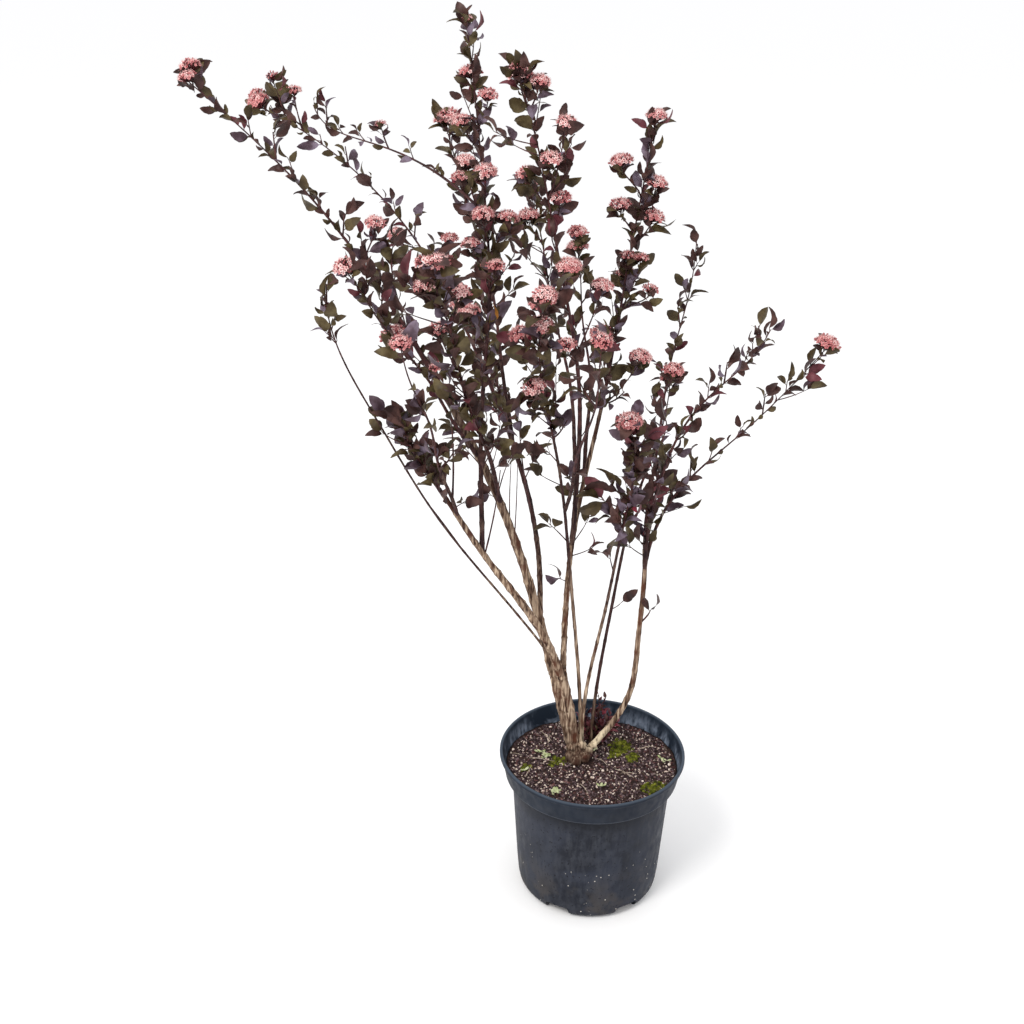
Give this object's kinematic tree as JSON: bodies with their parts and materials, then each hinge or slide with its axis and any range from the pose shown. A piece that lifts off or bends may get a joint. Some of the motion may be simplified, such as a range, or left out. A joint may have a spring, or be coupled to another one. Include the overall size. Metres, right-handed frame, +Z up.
{
  "type": "potted flowering shrub",
  "caption": "Dark-leaved shrub in flower, open and vase-shaped, growing in a round black nursery pot filled with potting mix.",
  "frame": {"origin": "middle of the pot's flat underside, on the pot's axis", "axes": "+Z up along the pot's axis, +X to the picture's right, +Y away from the viewer"},
  "size_m": [0.7816, 0.6113, 1.1941],
  "materials": {
    "pot_plastic": "blue-black moulded plastic with a thin dusty film",
    "potting_mix": "dark bark-based potting mix with pale grains and a little moss",
    "bark": "tan-brown shreddy bark, dark maroon on the young stems",
    "foliage": "thin dark purple-brown leaves with pale pink flower heads"
  },
  "bodies": {
    "root": {"pot": "pot_plastic", "potting_mix": "potting_mix", "trunk": "bark", "cane_far_left": "bark", "cane_low_left": "bark", "cane_right_tall": "bark", "cane_front_centre": "bark", "cane_right_stem": "bark", "cane_right_inner": "bark", "cane_back_inner": "bark", "cane_upper_left": "bark", "cane_left_whip": "bark", "cane_tall_centre": "bark", "cane_mid_left": "bark", "cane_tall_right": "bark", "cane_right_outer": "bark", "cane_right_fan": "bark", "cane_far_right": "bark", "cane_back_left": "bark", "cane_back_right": "bark", "cane_back_middle": "bark", "cane_front_left": "bark", "cane_front_right": "bark", "cane_front_low": "bark", "cane_back_low": "bark", "shoot_far_left": "foliage", "shoot_low_left": "foliage", "shoot_right_tall": "foliage", "shoot_front_centre": "foliage", "shoot_right_inner": "foliage", "shoot_back_inner": "foliage", "shoot_upper_left": "foliage", "shoot_left_whip": "foliage", "shoot_tall_centre": "foliage", "shoot_mid_left": "foliage", "shoot_tall_right": "foliage", "shoot_right_outer": "foliage", "shoot_right_fan": "foliage", "shoot_far_right": "foliage", "shoot_right_middle": "foliage", "shoot_back_left": "foliage", "shoot_back_right": "foliage", "shoot_back_middle": "foliage", "shoot_front_left": "foliage", "shoot_front_right": "foliage", "shoot_front_low": "foliage", "shoot_back_low": "foliage", "shoot_basal": "foliage"}
  },
  "joints": []
}
